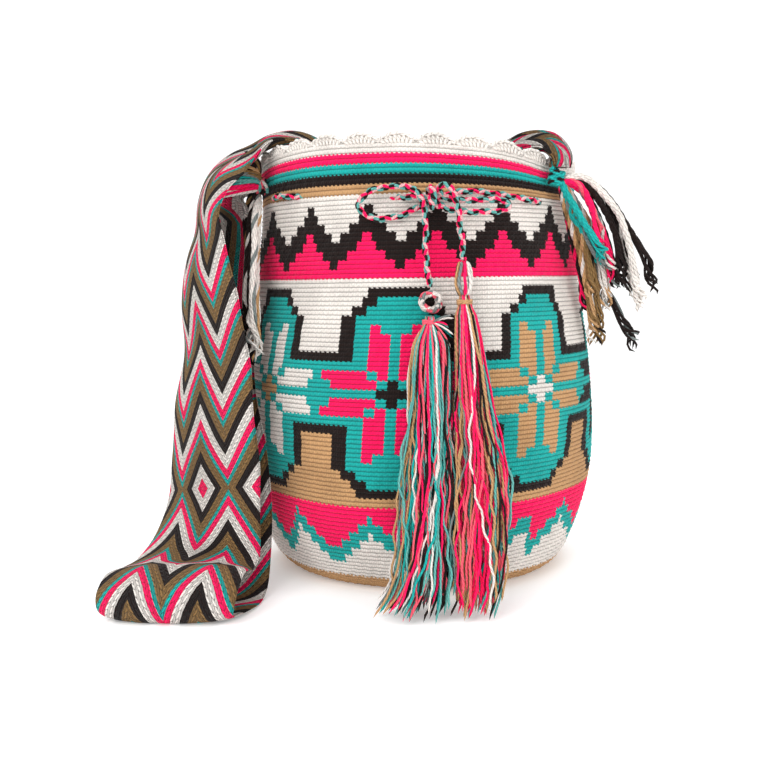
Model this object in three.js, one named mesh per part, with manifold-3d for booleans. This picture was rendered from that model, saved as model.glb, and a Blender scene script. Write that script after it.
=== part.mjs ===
// A crocheted bucket bag that stands on its base, with a braided shoulder strap tied on at both sides,
// a drawstring laced through the wall below the rim and tied in a bow, and two yarn tassels.
// Millimetres, +Z up, the front faces -Y, origin at the middle of the base on the surface it stands on.
import * as THREE from "three";
import { mergeVertices } from "three/addons/utils/BufferGeometryUtils.js";
import Module from "manifold-3d";

const wasm = await Module();
wasm.setup();

// Driving dimensions
const wallThickness = 4;
const rimHeight = 308;
const scallopRise = 4;
const scallops = 28;
const settlesAbove = 268; // height from which the rim follows rimSettling
const settledAt = 301;
const wallSegments = 84;
const bellyHeight = 135;
const flattening = 0.1; // how much shallower than wide the rim and the base are
const flatteningAbove = 165; // height above the belly where it is reached
const flatteningBelow = 140;
const cordRadius = 2.4;
const cordSides = 8;
const cordSteps = 80;
const eyeletSlack = 0.6; // the holes in the wall are this much wider than the cord all round
const cordOut = 3.2; // from the outside of the wall to the middle of a cord that lies on it
const cordIn = -7.3; // the same for a cord that lies on the inside
const strapThickness = 4.5;
const strapSteps = 116;
const knotRadius = 6;
const knotStandoff = 6.5;
const knotHeight = 286;
const tieRadius = 4.9;
const tieYarn = 1.2;

const colour = {
  white: 0xddd6cc,
  pink: 0xf5246b,
  teal: 0x24a8a0,
  brown: 0x241815,
  tan: 0xb8925f,
};

// Outside of the wall: half width against height, from the rounded foot to the rim
const wallProfile = [
  [98, 0],
  [105, 3],
  [112, 9],
  [117.5, 18],
  [122, 30],
  [126, 44],
  [129.5, 60],
  [132, 80],
  [133, 102],
  [133, 125],
  [131.8, 150],
  [129, 175],
  [125.5, 200],
  [122.5, 225],
  [120.7, 250],
  [119.8, 280],
  [119.5, rimHeight],
];

function halfWidth(z) {
  for (let i = 1; i < wallProfile.length; i += 1) {
    const [r0, z0] = wallProfile[i - 1];
    const [r1, z1] = wallProfile[i];
    if (z <= z1) return r0 + ((r1 - r0) * (z - z0)) / (z1 - z0);
  }
  return wallProfile[wallProfile.length - 1][0];
}

function depthRatio(z) {
  const reach = z > bellyHeight ? flatteningAbove : flatteningBelow;
  return 1 - flattening * ((z - bellyHeight) / reach) ** 2;
}

// A point beside the wall: degrees from the front, positive to the right, offset from the outside of the wall
function besideWall(degrees, offset, z) {
  const angle = THREE.MathUtils.degToRad(degrees);
  const across = halfWidth(z);
  const deep = across * depthRatio(z);
  const normal = new THREE.Vector3(Math.sin(angle) / across, -Math.cos(angle) / deep, 0).normalize();
  return new THREE.Vector3(across * Math.sin(angle), -deep * Math.cos(angle), z).addScaledVector(normal, offset);
}

function moveVertices(geometry, move) {
  const position = geometry.getAttribute("position");
  const point = new THREE.Vector3();
  for (let i = 0; i < position.count; i += 1) {
    point.fromBufferAttribute(position, i);
    move(point);
    position.setXYZ(i, point.x, point.y, point.z);
  }
  return geometry;
}

function solidOf(geometry) {
  const bare = geometry.clone();
  bare.deleteAttribute("normal");
  bare.deleteAttribute("uv");
  const merged = mergeVertices(bare, 1e-4);
  const mesh = new wasm.Mesh({
    numProp: 3,
    vertProperties: merged.getAttribute("position").array,
    triVerts: new Uint32Array(merged.index.array),
  });
  return new wasm.Manifold(mesh);
}

function geometryOf(solid) {
  const mesh = solid.getMesh();
  const geometry = new THREE.BufferGeometry();
  geometry.setAttribute("position", new THREE.BufferAttribute(mesh.vertProperties, 3));
  geometry.setIndex(new THREE.BufferAttribute(mesh.triVerts, 1));
  geometry.computeVertexNormals();
  return geometry;
}

// How far the rim is lifted or pulled down by the strap: degrees from the front, and mm
const rimSettling = [
  [-180, 0],
  [-120, -1],
  [-85, -3],
  [-66, 1],
  [-35, 4.5],
  [0, 3],
  [29, -1],
  [43, -6],
  [52, -10],
  [75, -9],
  [120, -2],
  [180, 0],
];

function rimLift(degrees) {
  const turned = ((degrees + 540) % 360) - 180;
  const next = Math.max(1, rimSettling.findIndex(([end]) => end >= turned));
  const [start, low] = rimSettling[next - 1];
  const [end, high] = rimSettling[next];
  return THREE.MathUtils.lerp(low, high, (turned - start) / (end - start));
}

// Wall, base and scalloped rim: a turned profile, made shallower front to back, with the scallops raised
function bagShell() {
  const outside = wallProfile.map(([r, z]) => new THREE.Vector2(r, z));
  const inside = wallProfile
    .filter(([, z]) => z > wallThickness)
    .map(([r, z]) => new THREE.Vector2(r - wallThickness, z))
    .reverse();
  const floorEdge = new THREE.Vector2(halfWidth(wallThickness) - 2 * wallThickness, wallThickness);
  const outline = [
    new THREE.Vector2(0, 0),
    ...outside,
    ...inside,
    floorEdge,
    new THREE.Vector2(0, wallThickness),
  ];
  const shell = new THREE.LatheGeometry(outline, wallSegments);
  shell.rotateX(Math.PI / 2);
  return moveVertices(shell, (point) => {
    const angle = Math.atan2(point.x, -point.y);
    if (point.z > rimHeight - 1) point.z += scallopRise * Math.abs(Math.sin((angle * scallops) / 2));
    point.y *= depthRatio(Math.min(point.z, rimHeight));
    const degrees = THREE.MathUtils.radToDeg(angle);
    const share = THREE.MathUtils.clamp((point.z - settlesAbove) / (settledAt - settlesAbove), 0, 1);
    point.z += (share * (rimLift(degrees - 6) + rimLift(degrees) + rimLift(degrees + 6))) / 3;
  });
}

// The drawstring, from the left tassel up to the bow, round the bag through the wall, and to the right tassel
const leftEndAndLoop = [
  [8, -127, 212.5],
  [5.5, -124.5, 236],
  [5.5, -124, 256],
  [3, -125.5, 270],
  [-4, -123, 276.5],
  [-14, -118.5, 278],
  [-30, -116.3, 275.5],
  [-38, -116.5, 267],
  [-30, -117.5, 258.5],
  [-14, -118.2, 258.5],
  [-2, -116.8, 263],
  [8, -116, 268.5],
  [20, -115, 272.5],
];
const aroundTheBag = [
  [16, cordOut, 275],
  [27, cordOut, 273],
  [39, cordOut, 270],
  [53, cordIn, 269.5],
  [68, cordIn, 270],
  [88, cordIn, 271],
  [106, cordIn, 272],
  [124, cordOut, 273],
  [143, cordIn, 273],
  [161, cordIn, 273],
  [180, cordOut, 273],
  [199, cordIn, 273],
  [217, cordIn, 273],
  [236, cordOut, 273],
  [254, cordIn, 273],
  [272, cordIn, 274],
  [292, cordIn, 276],
  [309, cordOut, 277],
  [328, cordIn, 273],
  [342, cordIn, 270.5],
];
const rightLoopAndEnd = [
  [-5, -116.2, 271.5],
  [3, -119.4, 271.5],
  [11, -121.8, 268],
  [17, -122, 264.5],
  [24, -121.5, 262],
  [41, -119.5, 260.8],
  [56, -115, 262],
  [61, -113, 265.2],
  [55, -114.5, 268.4],
  [41, -117.5, 268.6],
  [26, -120, 268.7],
  [17, -122, 271.5],
  [14, -125.5, 276],
  [19, -128.5, 278],
  [24, -128.5, 271],
  [26.5, -127.5, 262],
  [28, -125, 250],
  [29.5, -124.5, 238],
  [29.7, -125.6, 229.5],
];

function drawstringRoute() {
  const hanging = leftEndAndLoop.map((point) => new THREE.Vector3(...point));
  const laced = aroundTheBag.map((place) => besideWall(...place));
  const tied = rightLoopAndEnd.map((point) => new THREE.Vector3(...point));
  return new THREE.CatmullRomCurve3([...hanging, ...laced, ...tied], false, "centripetal");
}

function cordAlong(route, radius) {
  const section = new THREE.Shape();
  for (let side = 0; side < cordSides; side += 1) {
    const angle = (2 * Math.PI * side) / cordSides;
    const place = [radius * Math.cos(angle), radius * Math.sin(angle)];
    if (side === 0) section.moveTo(...place);
    else section.lineTo(...place);
  }
  section.closePath();
  return new THREE.ExtrudeGeometry(section, { steps: cordSteps, bevelEnabled: false, extrudePath: route });
}

// The strap's two edges, station by station: from the right tie over the rim, across the mouth, over the left
// rim, down to the floor in front of the bag's left side, folded under, and up behind to the left tie
const strapStations = [
  [[101.6, -68.7, 293.2], [94, -79.5, 293.2]],
  [[105, -64, 301.5], [93, -81, 300]],
  [[101, -55, 311.5], [86, -74, 308]],
  [[92, -47, 318], [76, -65, 309]],
  [[79, -42, 319], [66, -59, 305]],
  [[62, -38, 313], [52, -57, 299]],
  [[36, -32, 305], [32, -58, 296]],
  [[0, -26, 303], [0, -60, 295]],
  [[-42, -27, 307], [-38, -58, 298]],
  [[-70, -28, 319], [-65, -56, 309]],
  [[-88, -28, 323], [-84, -58, 317]],
  [[-106, -28, 320.5], [-102, -64, 317]],
  [[-122, -30, 316], [-113, -72, 303]],
  [[-139, -34, 309], [-119, -80, 292]],
  [[-150, -38, 295], [-129, -90, 281]],
  [[-157, -40, 275], [-134, -98, 265]],
  [[-162, -40, 255], [-129, -102, 246]],
  [[-170, -41, 233], [-125, -105, 225]],
  [[-173, -44, 201], [-120, -108, 203]],
  [[-173, -48, 165], [-114, -110, 171]],
  [[-179, -54, 128], [-112, -112, 137]],
  [[-182, -60, 92], [-109, -112, 103]],
  [[-182, -70, 63], [-109, -111, 75]],
  [[-188, -88, 41], [-109, -111, 50]],
  [[-197, -105, 27], [-110, -114, 31]],
  [[-204, -122, 24], [-113, -124, 26]],
  [[-208, -140, 26], [-115, -142, 28]],
  [[-210, -154, 19], [-117, -159, 20]],
  [[-209, -157, 9], [-119, -163, 9]],
  [[-205, -150, 3], [-120, -156, 3]],
  [[-197, -130, 2.8], [-112, -138, 2.8]],
  [[-191, -105, 3.5], [-107, -116, 3.5]],
  [[-187, -86, 14], [-105, -102, 16]],
  [[-184, -66, 47], [-104, -96, 47]],
  [[-182, -52, 75], [-103.5, -96, 75]],
  [[-181, -44, 103], [-107, -94, 103]],
  [[-179, -36, 132], [-112, -88, 128]],
  [[-176, -30, 160], [-116, -79, 154]],
  [[-172, -24, 195], [-119.5, -64, 190]],
  [[-165, -20, 232], [-119, -59, 230]],
  [[-159, -20, 262], [-118, -60, 254]],
  [[-152, -20, 288], [-121, -58, 270]],
  [[-140, -27, 303], [-126, -53, 276]],
  [[-128.5, -40, 299], [-126.5, -48, 279]],
  [[-121.9, -45.5, 292], [-121.9, -46, 280]],
];

function strapBand() {
  const edges = [0, 1].map((side) => {
    const points = strapStations.map((station) => new THREE.Vector3(...station[side]));
    return new THREE.CatmullRomCurve3(points, false, "catmullrom", 0.5);
  });
  const band = new THREE.BoxGeometry(2, strapThickness, 1, 2, 1, strapSteps);
  const middleAt = (t) => edges[0].getPoint(t).lerp(edges[1].getPoint(t), 0.5);
  const small = 0.5 / strapSteps;
  return moveVertices(band, (point) => {
    const t = THREE.MathUtils.clamp(point.z + 0.5, 0, 1);
    const across = edges[1].getPoint(t).sub(edges[0].getPoint(t)).multiplyScalar(0.5);
    const along = middleAt(Math.min(1, t + small)).sub(middleAt(Math.max(0, t - small)));
    const normal = new THREE.Vector3().crossVectors(along, across).normalize();
    const thick = point.y;
    const side = point.x;
    point.copy(middleAt(t)).addScaledVector(across, side).addScaledVector(normal, thick);
  });
}

// A hanging bundle of yarns: level sections from top to bottom, each x, y, z, half width, half depth
function bundle(sections) {
  const middles = new THREE.CatmullRomCurve3(sections.map(([x, y, z]) => new THREE.Vector3(x, y, z)));
  const sizes = new THREE.CatmullRomCurve3(sections.map(([, , , w, d]) => new THREE.Vector3(w, d, 0)));
  const body = new THREE.CylinderGeometry(1, 1, 1, 14, 2 * (sections.length - 1));
  body.rotateX(Math.PI / 2);
  return moveVertices(body, (point) => {
    const t = THREE.MathUtils.clamp(0.5 - point.z, 0, 1);
    const middle = middles.getPoint(t);
    const size = sizes.getPoint(t);
    point.set(middle.x + size.x * point.x, middle.y + size.y * point.y, middle.z);
  });
}

const leftTasselSections = [
  [8, -132.5, 194.6, 3.2, 3.2],
  [8, -134.6, 190.5, 3.3, 3.3],
  [8, -135.4, 188.6, 3.5, 3.5],
  [8, -137, 185, 7, 6],
  [8, -140, 177, 12, 8],
  [7.5, -143, 163, 13.5, 9],
  [7, -145, 130, 14, 9.5],
  [6, -147, 100, 16.5, 10],
  [5, -147.5, 70, 17, 10],
  [3, -148, 40, 19, 11],
  [-1, -149, 18, 22, 13],
  [-7, -151, 6, 26, 16],
  [-9, -152, 0.5, 28, 18],
];
const rightTasselSections = [
  [30, -130.5, 208, 3.3, 3.3],
  [30, -132.6, 203, 3.3, 3.3],
  [30, -133.2, 201, 3.5, 3.5],
  [30.5, -135, 196.5, 6.5, 5.5],
  [32, -138, 180, 9, 7],
  [33.5, -141, 160, 11, 8],
  [35.5, -144, 130, 13, 9],
  [39, -146, 100, 15.5, 9.5],
  [40, -147, 70, 17, 10],
  [39.5, -147.5, 40, 16, 10],
  [38, -148, 18, 14.5, 11],
  [36, -149, 6, 13, 12],
  [35, -150, 0.5, 13, 13],
];
const rightLoopsSections = [
  [29.7, -126.2, 228.4, 3, 3],
  [29.8, -127.5, 219, 5.6, 4.5],
  [30, -129.8, 208.9, 3.4, 3.4],
];
const rightFringeSections = [
  [97.5, -76, 279, 4, 4],
  [104, -76, 272, 8, 7],
  [116, -71, 258, 17, 10],
  [128, -66, 240, 22, 12],
  [134, -62, 215, 25, 13],
  [136, -60, 190, 21, 12],
  [133, -60, 168, 14, 9],
];
const leftFringeSections = [
  [-115, -47.5, 279, 3.5, 3.5],
  [-114.5, -66, 262, 5, 5],
  [-115, -75, 240, 5.5, 5.5],
  [-115.5, -81, 210, 5.5, 5.5],
  [-116, -87, 175, 5, 5],
];

function knot(degrees) {
  const lump = new THREE.SphereGeometry(knotRadius, 14, 10);
  return lump.translate(...besideWall(degrees, knotStandoff, knotHeight).toArray());
}

// The yarn wound round the neck of a tassel
function tie(x, y, z) {
  return new THREE.TorusGeometry(tieRadius, tieYarn, 8, 28).translate(x, y, z);
}

// The ring of yarn at the end of the left cord that the tassel hangs from
function hangingRing(x, y, z, radius, yarn) {
  return new THREE.TorusGeometry(radius, yarn, 10, 28).rotateX(Math.PI / 2).translate(x, y, z);
}

const bag = new THREE.Group();

function add(name, geometry, paint, roughness = 0.9) {
  const material = new THREE.MeshStandardMaterial({ color: paint, roughness, metalness: 0 });
  const mesh = new THREE.Mesh(geometry, material);
  mesh.name = name;
  bag.add(mesh);
}

const route = drawstringRoute();
const eyelets = solidOf(cordAlong(route, cordRadius + eyeletSlack));
const wall = solidOf(bagShell()).subtract(eyelets);

add("bag_body", geometryOf(wall), colour.white);
add("shoulder_strap", strapBand(), colour.brown);
add("drawstring", cordAlong(route, cordRadius), colour.pink);
add("strap_knot_right", knot(50), colour.teal);
add("strap_knot_left", knot(-66), colour.pink);
add("strap_fringe_right", bundle(rightFringeSections), colour.tan);
add("strap_fringe_left", bundle(leftFringeSections), colour.white);
add("tassel_ring_left", hangingRing(8.5, -128.5, 203.5, 5.6, 2.3), colour.white);
add("tassel_loops_right", bundle(rightLoopsSections), colour.teal);
add("tassel_left", bundle(leftTasselSections), colour.teal);
add("tassel_right", bundle(rightTasselSections), colour.pink);
add("tassel_tie_left", tie(8, -134.6, 190.5), colour.pink);
add("tassel_tie_right", tie(30, -132.6, 203), colour.tan);

export default bag;
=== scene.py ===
import math

import bpy
import numpy as np
from mathutils import Matrix, Vector


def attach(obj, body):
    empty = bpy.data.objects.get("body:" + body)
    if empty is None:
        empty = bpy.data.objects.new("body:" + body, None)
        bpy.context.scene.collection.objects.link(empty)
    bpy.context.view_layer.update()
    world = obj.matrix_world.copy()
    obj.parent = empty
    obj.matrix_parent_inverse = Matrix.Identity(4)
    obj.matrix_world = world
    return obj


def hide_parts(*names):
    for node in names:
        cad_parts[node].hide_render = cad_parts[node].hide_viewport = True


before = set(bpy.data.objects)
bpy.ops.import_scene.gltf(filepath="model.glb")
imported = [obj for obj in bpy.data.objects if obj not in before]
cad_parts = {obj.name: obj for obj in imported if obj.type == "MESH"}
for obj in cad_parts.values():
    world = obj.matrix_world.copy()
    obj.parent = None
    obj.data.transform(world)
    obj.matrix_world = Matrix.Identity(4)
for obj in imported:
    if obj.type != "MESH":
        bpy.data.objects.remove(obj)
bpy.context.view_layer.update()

scene = bpy.context.scene
scene.view_settings.view_transform = "Standard"

# the yarns' red, green and blue, matched, from 0 to 255
swatches = {
    "white": (226, 219, 212),
    "pink": (252, 14, 92),
    "teal": (22, 164, 158),
    "brown": (27, 15, 12),
    "tan": (190, 147, 102),
    "mint": (96, 170, 162),
    "blush": (230, 176, 178),
    "olive": (130, 100, 60),
    "coral": (240, 92, 110),
    "grey": (120, 128, 126),
}


def toLinear(swatch):
    share = np.asarray(swatch, float) / 255
    low = share / 12.92
    high = ((share + 0.055) / 1.055) ** 2.4
    return tuple(np.where(share <= 0.04045, low, high)) + (1.0,)


yarns = {name: toLinear(swatch) for name, swatch in swatches.items()}
yarnOrder = ("white", "pink", "teal", "brown", "tan")
white, pink, teal, brown, tan = range(5)
wallPalette = np.array([yarns[name] for name in yarnOrder])


def dyed(names):
    # the colours of some yarns, named in one string
    return np.array([yarns[name] for name in names.split()])


def meshPiece(name, points, quads, material, uv=None, uvName="lay", paint=None):
    # points (n, 3), quads (m, 4), uv (4m, 2), paint (m, 4) one colour for each face
    mesh = bpy.data.meshes.new(name)
    mesh.vertices.add(len(points))
    mesh.vertices.foreach_set("co", np.ascontiguousarray(points, np.float32).ravel())
    mesh.loops.add(quads.size)
    mesh.loops.foreach_set("vertex_index", np.ascontiguousarray(quads, np.int32).ravel())
    mesh.polygons.add(len(quads))
    mesh.polygons.foreach_set("loop_start", np.arange(0, quads.size, 4, dtype=np.int32))
    mesh.update(calc_edges=True)
    mesh.polygons.foreach_set("use_smooth", np.ones(len(quads), bool))
    if uv is not None:
        layer = mesh.uv_layers.new(name=uvName)
        layer.data.foreach_set("uv", np.ascontiguousarray(uv, np.float32).ravel())
    if paint is not None:
        colours = mesh.color_attributes.new("yarn", "FLOAT_COLOR", "CORNER")
        corners = np.repeat(np.asarray(paint, np.float32), 4, axis=0)
        colours.data.foreach_set("color", corners.ravel())
    mesh.materials.append(material)
    piece = bpy.data.objects.new(name, mesh)
    scene.collection.objects.link(piece)
    return piece


def gridQuads(rows, columns, closed=False):
    # the quads of a grid of points, facing out when its columns run right and its rows run up
    wide = columns if closed else columns - 1
    row, column = np.meshgrid(np.arange(rows - 1), np.arange(wide), indexing="ij")
    row, column = row.ravel(), column.ravel()
    following = (column + 1) % columns
    corners = [row * columns + column, row * columns + following]
    corners += [(row + 1) * columns + following, (row + 1) * columns + column]
    return np.stack(corners, axis=1)


def gridUV(across, up):
    # corner uv for a grid whose columns lie at across (wide + 1 values) and rows at up
    row, column = np.meshgrid(np.arange(len(up) - 1), np.arange(len(across) - 1), indexing="ij")
    row, column = row.ravel(), column.ravel()
    us = np.stack([across[column], across[column + 1], across[column + 1], across[column]], axis=1)
    vs = np.stack([up[row], up[row], up[row + 1], up[row + 1]], axis=1)
    return np.stack([us, vs], axis=2).reshape(-1, 2)


def smoothLine(points, alpha=0.5, per=24):
    # a curve through the points: centripetal at alpha 0.5, uniform at 0
    points = np.asarray(points, float)
    points = np.vstack([2 * points[0] - points[1], points, 2 * points[-1] - points[-2]])
    line = []
    for p0, p1, p2, p3 in zip(points, points[1:], points[2:], points[3:]):
        steps = [np.linalg.norm(b - a) ** alpha for a, b in ((p0, p1), (p1, p2), (p2, p3))]
        knots = np.cumsum([0] + steps)
        t = np.linspace(knots[1], knots[2], per, endpoint=False)[:, None]
        a1 = (knots[1] - t) / (knots[1] - knots[0]) * p0 + (t - knots[0]) / (knots[1] - knots[0]) * p1
        a2 = (knots[2] - t) / (knots[2] - knots[1]) * p1 + (t - knots[1]) / (knots[2] - knots[1]) * p2
        a3 = (knots[3] - t) / (knots[3] - knots[2]) * p2 + (t - knots[2]) / (knots[3] - knots[2]) * p3
        b1 = (knots[2] - t) / (knots[2] - knots[0]) * a1 + (t - knots[0]) / (knots[2] - knots[0]) * a2
        b2 = (knots[3] - t) / (knots[3] - knots[1]) * a2 + (t - knots[1]) / (knots[3] - knots[1]) * a3
        line.append((knots[2] - t) / (knots[2] - knots[1]) * b1 + (t - knots[1]) / (knots[2] - knots[1]) * b2)
    return np.vstack(line + [points[-2][None]])


def lengths(line):
    return np.concatenate([[0], np.cumsum(np.linalg.norm(np.diff(line, axis=0), axis=1))])


def evenly(line, count):
    run = lengths(line)
    at = np.linspace(0, run[-1], count)
    return np.stack([np.interp(at, run, line[:, k]) for k in range(3)], axis=1)


def unit(vectors):
    return vectors / np.maximum(np.linalg.norm(vectors, axis=-1, keepdims=True), 1e-12)


def carriedFrames(paths):
    # two directions square to each path, carried along it without twist
    tangents = unit(np.gradient(paths, axis=1))
    side = np.zeros_like(paths)
    helper = np.where(np.abs(tangents[:, 0, 2:3]) < 0.9, [[0.0, 0.0, 1.0]], [[1.0, 0.0, 0.0]])
    side[:, 0] = unit(np.cross(tangents[:, 0], helper))
    for i in range(1, paths.shape[1]):
        last = side[:, i - 1]
        along = tangents[:, i]
        side[:, i] = unit(last - along * np.sum(last * along, axis=1, keepdims=True))
    return side, np.cross(tangents, side)


def yarnPiece(name, paths, radii, colours, material, sides=5):
    # one piece of many tubes: paths (tubes, rings, 3), radii (tubes, rings), colours (tubes, 4)
    paths = np.asarray(paths, float)
    tubes, rings = paths.shape[:2]
    radii = np.broadcast_to(np.asarray(radii, float), (tubes, rings)).copy()
    radii[:, 0] *= 0.02
    radii[:, -1] *= 0.02
    side, other = carriedFrames(paths)
    angles = np.arange(sides) * 2 * math.pi / sides
    spokes = side[:, :, None] * np.cos(angles)[None, None, :, None]
    spokes = spokes + other[:, :, None] * np.sin(angles)[None, None, :, None]
    points = paths[:, :, None] + spokes * radii[:, :, None, None]
    one = gridQuads(rings, sides, closed=True)
    quads = (one[None] + (np.arange(tubes) * rings * sides)[:, None, None]).reshape(-1, 4)
    around = np.arange(sides + 1) / sides
    uv = []
    for path in paths:
        uv.append(gridUV(around, lengths(path))[:, ::-1])
    paint = np.repeat(np.asarray(colours, float), len(one), axis=0)
    return meshPiece(name, points.reshape(-1, 3), quads, material, np.vstack(uv), "lay", paint)


def socket(tree, kind, name, way, default=None):
    made = tree.interface.new_socket(name=name, in_out=way, socket_type=kind)
    if default is not None:
        made.default_value = default


def newGroup(name, inputs, outputs):
    # a shader node group: inputs {name: (type, default)}, outputs {name: type}
    tree = bpy.data.node_groups.new(name, "ShaderNodeTree")
    for label, (kind, default) in inputs.items():
        socket(tree, kind, label, "INPUT", default)
    for label, kind in outputs.items():
        socket(tree, kind, label, "OUTPUT")
    return tree, tree.nodes.new("NodeGroupInput"), tree.nodes.new("NodeGroupOutput")


def plug(tree, target, value):
    if isinstance(value, bpy.types.NodeSocket):
        tree.links.new(value, target)
    else:
        target.default_value = value


def mathOf(tree, operation, *values):
    node = tree.nodes.new("ShaderNodeMath")
    node.operation = operation
    for target, value in zip(node.inputs, values):
        plug(tree, target, value)
    return node.outputs[0]


def rangeOf(tree, value, low, high, outLow, outHigh):
    node = tree.nodes.new("ShaderNodeMapRange")
    node.interpolation_type = "SMOOTHSTEP"
    labels = ("Value", "From Min", "From Max", "To Min", "To Max")
    for label, given in zip(labels, (value, low, high, outLow, outHigh)):
        plug(tree, node.inputs[label], given)
    return node.outputs["Result"]


def noiseOf(tree, vector, scale, detail=2.0, roughness=0.5):
    node = tree.nodes.new("ShaderNodeTexNoise")
    plug(tree, node.inputs["Vector"], vector)
    plug(tree, node.inputs["Scale"], scale)
    node.inputs["Detail"].default_value = detail
    node.inputs["Roughness"].default_value = roughness
    return node.outputs["Fac"]


def uvOf(tree, name):
    node = tree.nodes.new("ShaderNodeUVMap")
    node.uv_map = name
    apart = tree.nodes.new("ShaderNodeSeparateXYZ")
    tree.links.new(node.outputs["UV"], apart.inputs[0])
    return apart.outputs[0], apart.outputs[1]


def objectPlace(tree):
    return tree.nodes.new("ShaderNodeTexCoord").outputs["Object"]


def scaledColour(tree, colour, share):
    # colour times a grey share
    node = tree.nodes.new("ShaderNodeVectorMath")
    node.operation = "SCALE"
    plug(tree, node.inputs[0], colour)
    plug(tree, node.inputs["Scale"], share)
    return node.outputs[0]


def makeCottonToneAndShade():
    # dyed cotton is never one flat colour: slow patches, and fine fibre flecks; the relief's Shade is painted
    # shade, multiplied into the colour
    inputs = {
        "Colour": ("NodeSocketColor", (1, 1, 1, 1)),
        "Patches": ("NodeSocketFloat", 0.08),
        "Flecks": ("NodeSocketFloat", 0.12),
        "Shade": ("NodeSocketFloat", 1.0),
    }
    outputs = {"Colour": "NodeSocketColor", "Rough": "NodeSocketFloat"}
    tree, given, result = newGroup("cottonToneAndShade", inputs, outputs)
    place = objectPlace(tree)
    patches = rangeOf(tree, noiseOf(tree, place, 38.0, 3.0), 0.3, 0.7, -1.0, 1.0)
    flecks = rangeOf(tree, noiseOf(tree, place, 1500.0, 2.0, 0.7), 0.25, 0.75, -1.0, 1.0)
    share = mathOf(tree, "MULTIPLY_ADD", patches, given.outputs["Patches"], 1.0)
    share = mathOf(tree, "MULTIPLY_ADD", flecks, given.outputs["Flecks"], share)
    # painted shade: the relief's Shade darkens the colour in its grooves, and where it passes 1 it paints a
    # faint highlight
    share = mathOf(tree, "MULTIPLY", share, given.outputs["Shade"])
    tree.links.new(scaledColour(tree, given.outputs["Colour"], share), result.inputs["Colour"])
    tree.links.new(rangeOf(tree, flecks, -1.0, 1.0, 0.82, 0.96), result.inputs["Rough"])
    return tree


reliefOutputs = {"Height": "NodeSocketFloat", "Shade": "NodeSocketFloat"}


def makeStitchRelief():
    # single crochet from the outside: rounds as ridges, and in each stitch two legs that lean apart
    inputs = {"Depth": ("NodeSocketFloat", 1.0)}
    tree, given, result = newGroup("stitchRelief", inputs, reliefOutputs)
    across, up = uvOf(tree, "stitch")
    wobble = mathOf(tree, "SUBTRACT", noiseOf(tree, objectPlace(tree), 420.0, 1.0), 0.5)
    across = mathOf(tree, "MULTIPLY_ADD", wobble, 0.35, across)
    inRound = mathOf(tree, "FRACT", up)
    inStitch = mathOf(tree, "FRACT", across)
    ridge = mathOf(tree, "SINE", mathOf(tree, "MULTIPLY", inRound, math.pi))
    fromMiddle = mathOf(tree, "ABSOLUTE", mathOf(tree, "SUBTRACT", inStitch, 0.5))
    legAt = mathOf(tree, "MULTIPLY_ADD", inRound, 0.34, 0.06)
    offLeg = mathOf(tree, "ABSOLUTE", mathOf(tree, "SUBTRACT", fromMiddle, legAt))
    leg = rangeOf(tree, offLeg, 0.0, 0.2, 1.0, 0.0)
    ply = noiseOf(tree, objectPlace(tree), 2600.0, 2.0)
    height = mathOf(tree, "MULTIPLY_ADD", leg, 0.4, mathOf(tree, "MULTIPLY", ridge, 0.8))
    height = mathOf(tree, "MULTIPLY_ADD", ply, 0.14, height)
    height = mathOf(tree, "MULTIPLY", height, given.outputs["Depth"])
    tree.links.new(height, result.inputs["Height"])
    # painted shade: the colour goes darker in the grooves between rounds and between the two legs, and a
    # little lighter on the legs as painted highlight
    groove = rangeOf(tree, ridge, 0.0, 0.6, 0.5, 1.0)
    between = rangeOf(tree, leg, 0.0, 0.8, 0.9, 1.04)
    tree.links.new(mathOf(tree, "MULTIPLY", groove, between), result.inputs["Shade"])
    return tree


def makePlyTwist():
    # plied yarn: slanted plies along a strand, from its lay: metres along and turns around
    inputs = {"Turns": ("NodeSocketFloat", 220.0), "Plies": ("NodeSocketFloat", 3.0)}
    tree, given, result = newGroup("plyTwist", inputs, reliefOutputs)
    along, around = uvOf(tree, "lay")
    phase = mathOf(tree, "MULTIPLY", along, given.outputs["Turns"])
    phase = mathOf(tree, "MULTIPLY_ADD", around, given.outputs["Plies"], phase)
    wave = mathOf(tree, "ABSOLUTE", mathOf(tree, "SINE", mathOf(tree, "MULTIPLY", phase, math.pi)))
    fuzz = noiseOf(tree, objectPlace(tree), 3000.0, 2.0)
    tree.links.new(mathOf(tree, "MULTIPLY_ADD", fuzz, 0.3, wave), result.inputs["Height"])
    # painted shade between the plies, with a faint painted highlight on them
    tree.links.new(rangeOf(tree, wave, 0.0, 0.7, 0.7, 1.03), result.inputs["Shade"])
    return tree


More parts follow.
